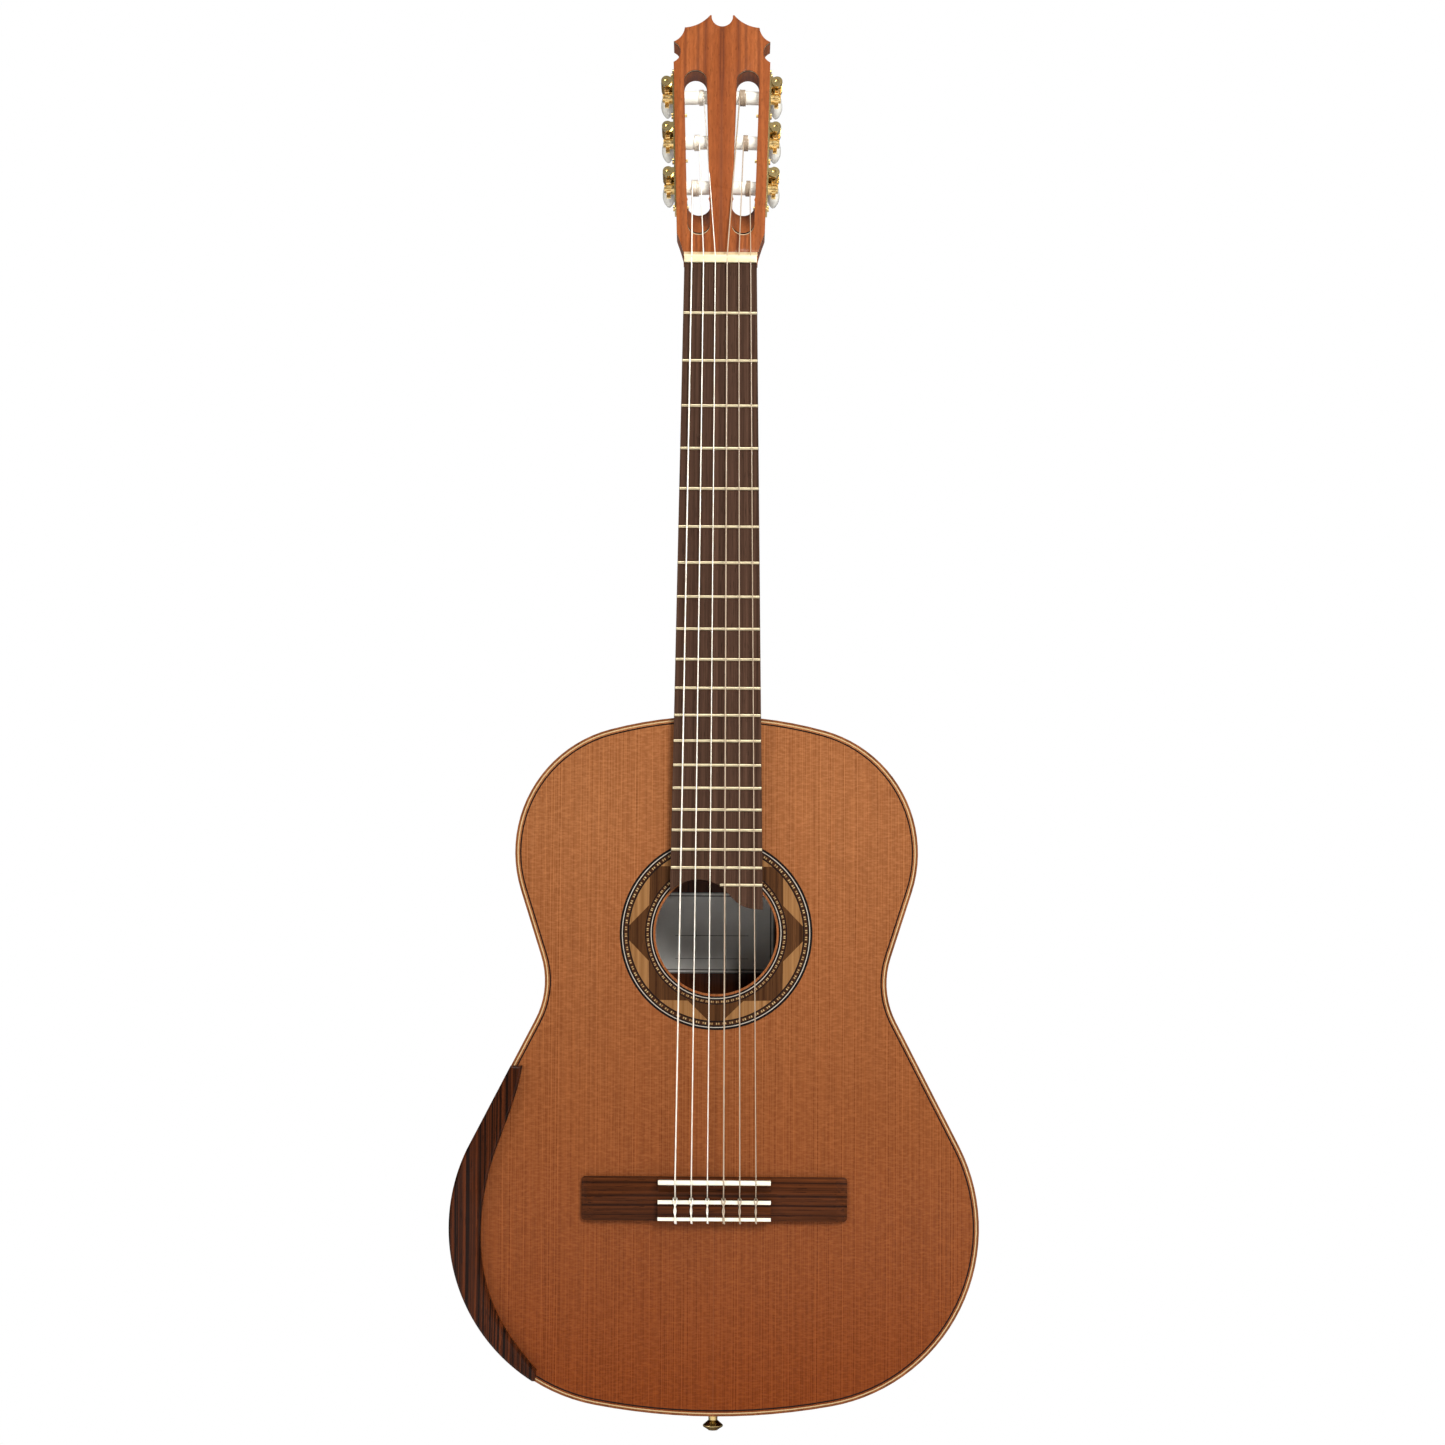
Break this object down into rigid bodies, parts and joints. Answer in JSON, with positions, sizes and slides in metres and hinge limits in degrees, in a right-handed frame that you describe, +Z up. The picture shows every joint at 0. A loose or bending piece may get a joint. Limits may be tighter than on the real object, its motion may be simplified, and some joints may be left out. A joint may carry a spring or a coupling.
{
  "type": "classical guitar",
  "caption": "Classical guitar with slotted head, geared tuning machines, star rosette, tie-block bridge, wooden armrest and strap button; the tuning buttons turn the string rollers.",
  "frame": {"origin": "middle of the nut's front edge on the playing surface of the fingerboard, where a wall hanger's yoke takes the neck under the head", "axes": "+Z runs up the neck to the head, +Y points to the back plate, +X points to the treble side"},
  "size_m": [0.373, 0.1147, 1.0229],
  "materials": {
    "cedar_top": "gloss lacquer over fine straight cedar grain",
    "body_wood": "gloss lacquer, reddish brown sides and back",
    "inlay_strip": "dark strip with light lines, gloss lacquer",
    "binding_wood": "gloss lacquer",
    "edge_lines": "fine cream and black lines under lacquer",
    "inner_wood": "bare spruce and cedar, planed",
    "label_paper": "matt paper, ruled edge, no print",
    "line_black": "dyed black wood lines under lacquer",
    "line_light": "pale maple lines under lacquer",
    "mosaic": "rings of tiny cream and brown tiles under lacquer",
    "walnut_star": "dark walnut under lacquer",
    "maple_wedges": "light tan wedges under lacquer",
    "armrest_rosewood": "polished dark rosewood",
    "bridge_rosewood": "satin dark rosewood",
    "bone": "polished bone",
    "gold_plate": "polished gold plate",
    "neck_wood": "gloss lacquered neck wood",
    "headplate_wood": "striped bookmatched plate, gloss lacquer",
    "laminate_black": "dark veneer",
    "fingerboard_rosewood": "oiled rosewood, fine open pores",
    "fret_wire": "polished nickel silver",
    "wound_string": "silver plated wire winding",
    "nylon_string": "clear nylon",
    "roller_ivory": "ivory coloured rollers",
    "gear_gold": "cut gear, gold plate over steel spindle",
    "button_pearl": "pearl effect buttons"
  },
  "bodies": {
    "guitar": {"soundboard": "cedar_top", "back_plates": "body_wood", "centre_strips": "inlay_strip", "side_bass": "body_wood", "side_treble": "body_wood", "top_bindings": "binding_wood", "top_purflings": "edge_lines", "back_bindings": "binding_wood", "linings": "inner_wood", "neck_block": "inner_wood", "tail_block": "inner_wood", "fan_braces": "inner_wood", "cross_braces": "inner_wood", "back_braces": "inner_wood", "label": "label_paper", "rosette_lines_dark": "line_black", "rosette_lines_light": "line_light", "rosette_mosaic_rings": "mosaic", "rosette_dark_star": "walnut_star", "rosette_light_wedges": "maple_wedges", "armrest": "armrest_rosewood", "bridge": "bridge_rosewood", "saddle": "bone", "tie_block_edging": "bone", "strap_button": "gold_plate", "neck": "neck_wood", "headplate": "headplate_wood", "head_veneer": "laminate_black", "fingerboard": "fingerboard_rosewood", "frets": "fret_wire", "nut": "bone", "bass_strings": "wound_string", "treble_strings": "nylon_string", "tuner_plates": "gold_plate", "plate_screws": "gold_plate", "heel_cap": "bridge_rosewood"},
    "roller_1": {"barrel_1": "roller_ivory", "gear_1": "gear_gold"},
    "key_1": {"worm_1": "gold_plate", "button_1": "button_pearl"},
    "roller_2": {"barrel_2": "roller_ivory", "gear_2": "gear_gold"},
    "key_2": {"worm_2": "gold_plate", "button_2": "button_pearl"},
    "roller_3": {"barrel_3": "roller_ivory", "gear_3": "gear_gold"},
    "key_3": {"worm_3": "gold_plate", "button_3": "button_pearl"},
    "roller_4": {"barrel_4": "roller_ivory", "gear_4": "gear_gold"},
    "key_4": {"worm_4": "gold_plate", "button_4": "button_pearl"},
    "roller_5": {"barrel_5": "roller_ivory", "gear_5": "gear_gold"},
    "key_5": {"worm_5": "gold_plate", "button_5": "button_pearl"},
    "roller_6": {"barrel_6": "roller_ivory", "gear_6": "gear_gold"},
    "key_6": {"worm_6": "gold_plate", "button_6": "button_pearl"}
  },
  "joints": [
    {"name": "roller_turn_1", "type": "hinge", "parent": "guitar", "child": "roller_1", "pos_m": [0.03809, 0.02116, 0.05844], "axis": [0.9996, -0.0039, -0.0264], "continuous": true},
    {"name": "key_turn_1", "type": "hinge", "parent": "guitar", "child": "key_1", "pos_m": [0.03834, 0.01364, 0.06906], "axis": [0, 0.989, -0.1478], "continuous": true},
    {"name": "roller_turn_2", "type": "hinge", "parent": "guitar", "child": "roller_2", "pos_m": [0.03903, 0.02633, 0.09304], "axis": [0.9996, -0.0039, -0.0264], "continuous": true},
    {"name": "key_turn_2", "type": "hinge", "parent": "guitar", "child": "key_2", "pos_m": [0.03928, 0.01881, 0.10367], "axis": [0, 0.989, -0.1478], "continuous": true},
    {"name": "roller_turn_3", "type": "hinge", "parent": "guitar", "child": "roller_3", "pos_m": [0.03996, 0.0315, 0.12765], "axis": [0.9996, -0.0039, -0.0264], "continuous": true},
    {"name": "key_turn_3", "type": "hinge", "parent": "guitar", "child": "key_3", "pos_m": [0.04021, 0.02399, 0.13827], "axis": [0, 0.989, -0.1478], "continuous": true},
    {"name": "roller_turn_4", "type": "hinge", "parent": "guitar", "child": "roller_4", "pos_m": [-0.03996, 0.0315, 0.12765], "axis": [-0.9996, -0.0039, -0.0264], "continuous": true},
    {"name": "key_turn_4", "type": "hinge", "parent": "guitar", "child": "key_4", "pos_m": [-0.04021, 0.02399, 0.13827], "axis": [0, 0.989, -0.1478], "continuous": true},
    {"name": "roller_turn_5", "type": "hinge", "parent": "guitar", "child": "roller_5", "pos_m": [-0.03903, 0.02633, 0.09304], "axis": [-0.9996, -0.0039, -0.0264], "continuous": true},
    {"name": "key_turn_5", "type": "hinge", "parent": "guitar", "child": "key_5", "pos_m": [-0.03928, 0.01881, 0.10367], "axis": [0, 0.989, -0.1478], "continuous": true},
    {"name": "roller_turn_6", "type": "hinge", "parent": "guitar", "child": "roller_6", "pos_m": [-0.03809, 0.02116, 0.05844], "axis": [-0.9996, -0.0039, -0.0264], "continuous": true},
    {"name": "key_turn_6", "type": "hinge", "parent": "guitar", "child": "key_6", "pos_m": [-0.03834, 0.01364, 0.06906], "axis": [0, 0.989, -0.1478], "continuous": true}
  ],
  "couplings": [
    {"joint": "key_turn_1", "follows": "roller_turn_1", "ratio": 14},
    {"joint": "key_turn_2", "follows": "roller_turn_2", "ratio": 14},
    {"joint": "key_turn_3", "follows": "roller_turn_3", "ratio": 14},
    {"joint": "key_turn_4", "follows": "roller_turn_4", "ratio": 14},
    {"joint": "key_turn_5", "follows": "roller_turn_5", "ratio": 14},
    {"joint": "key_turn_6", "follows": "roller_turn_6", "ratio": 14}
  ]
}
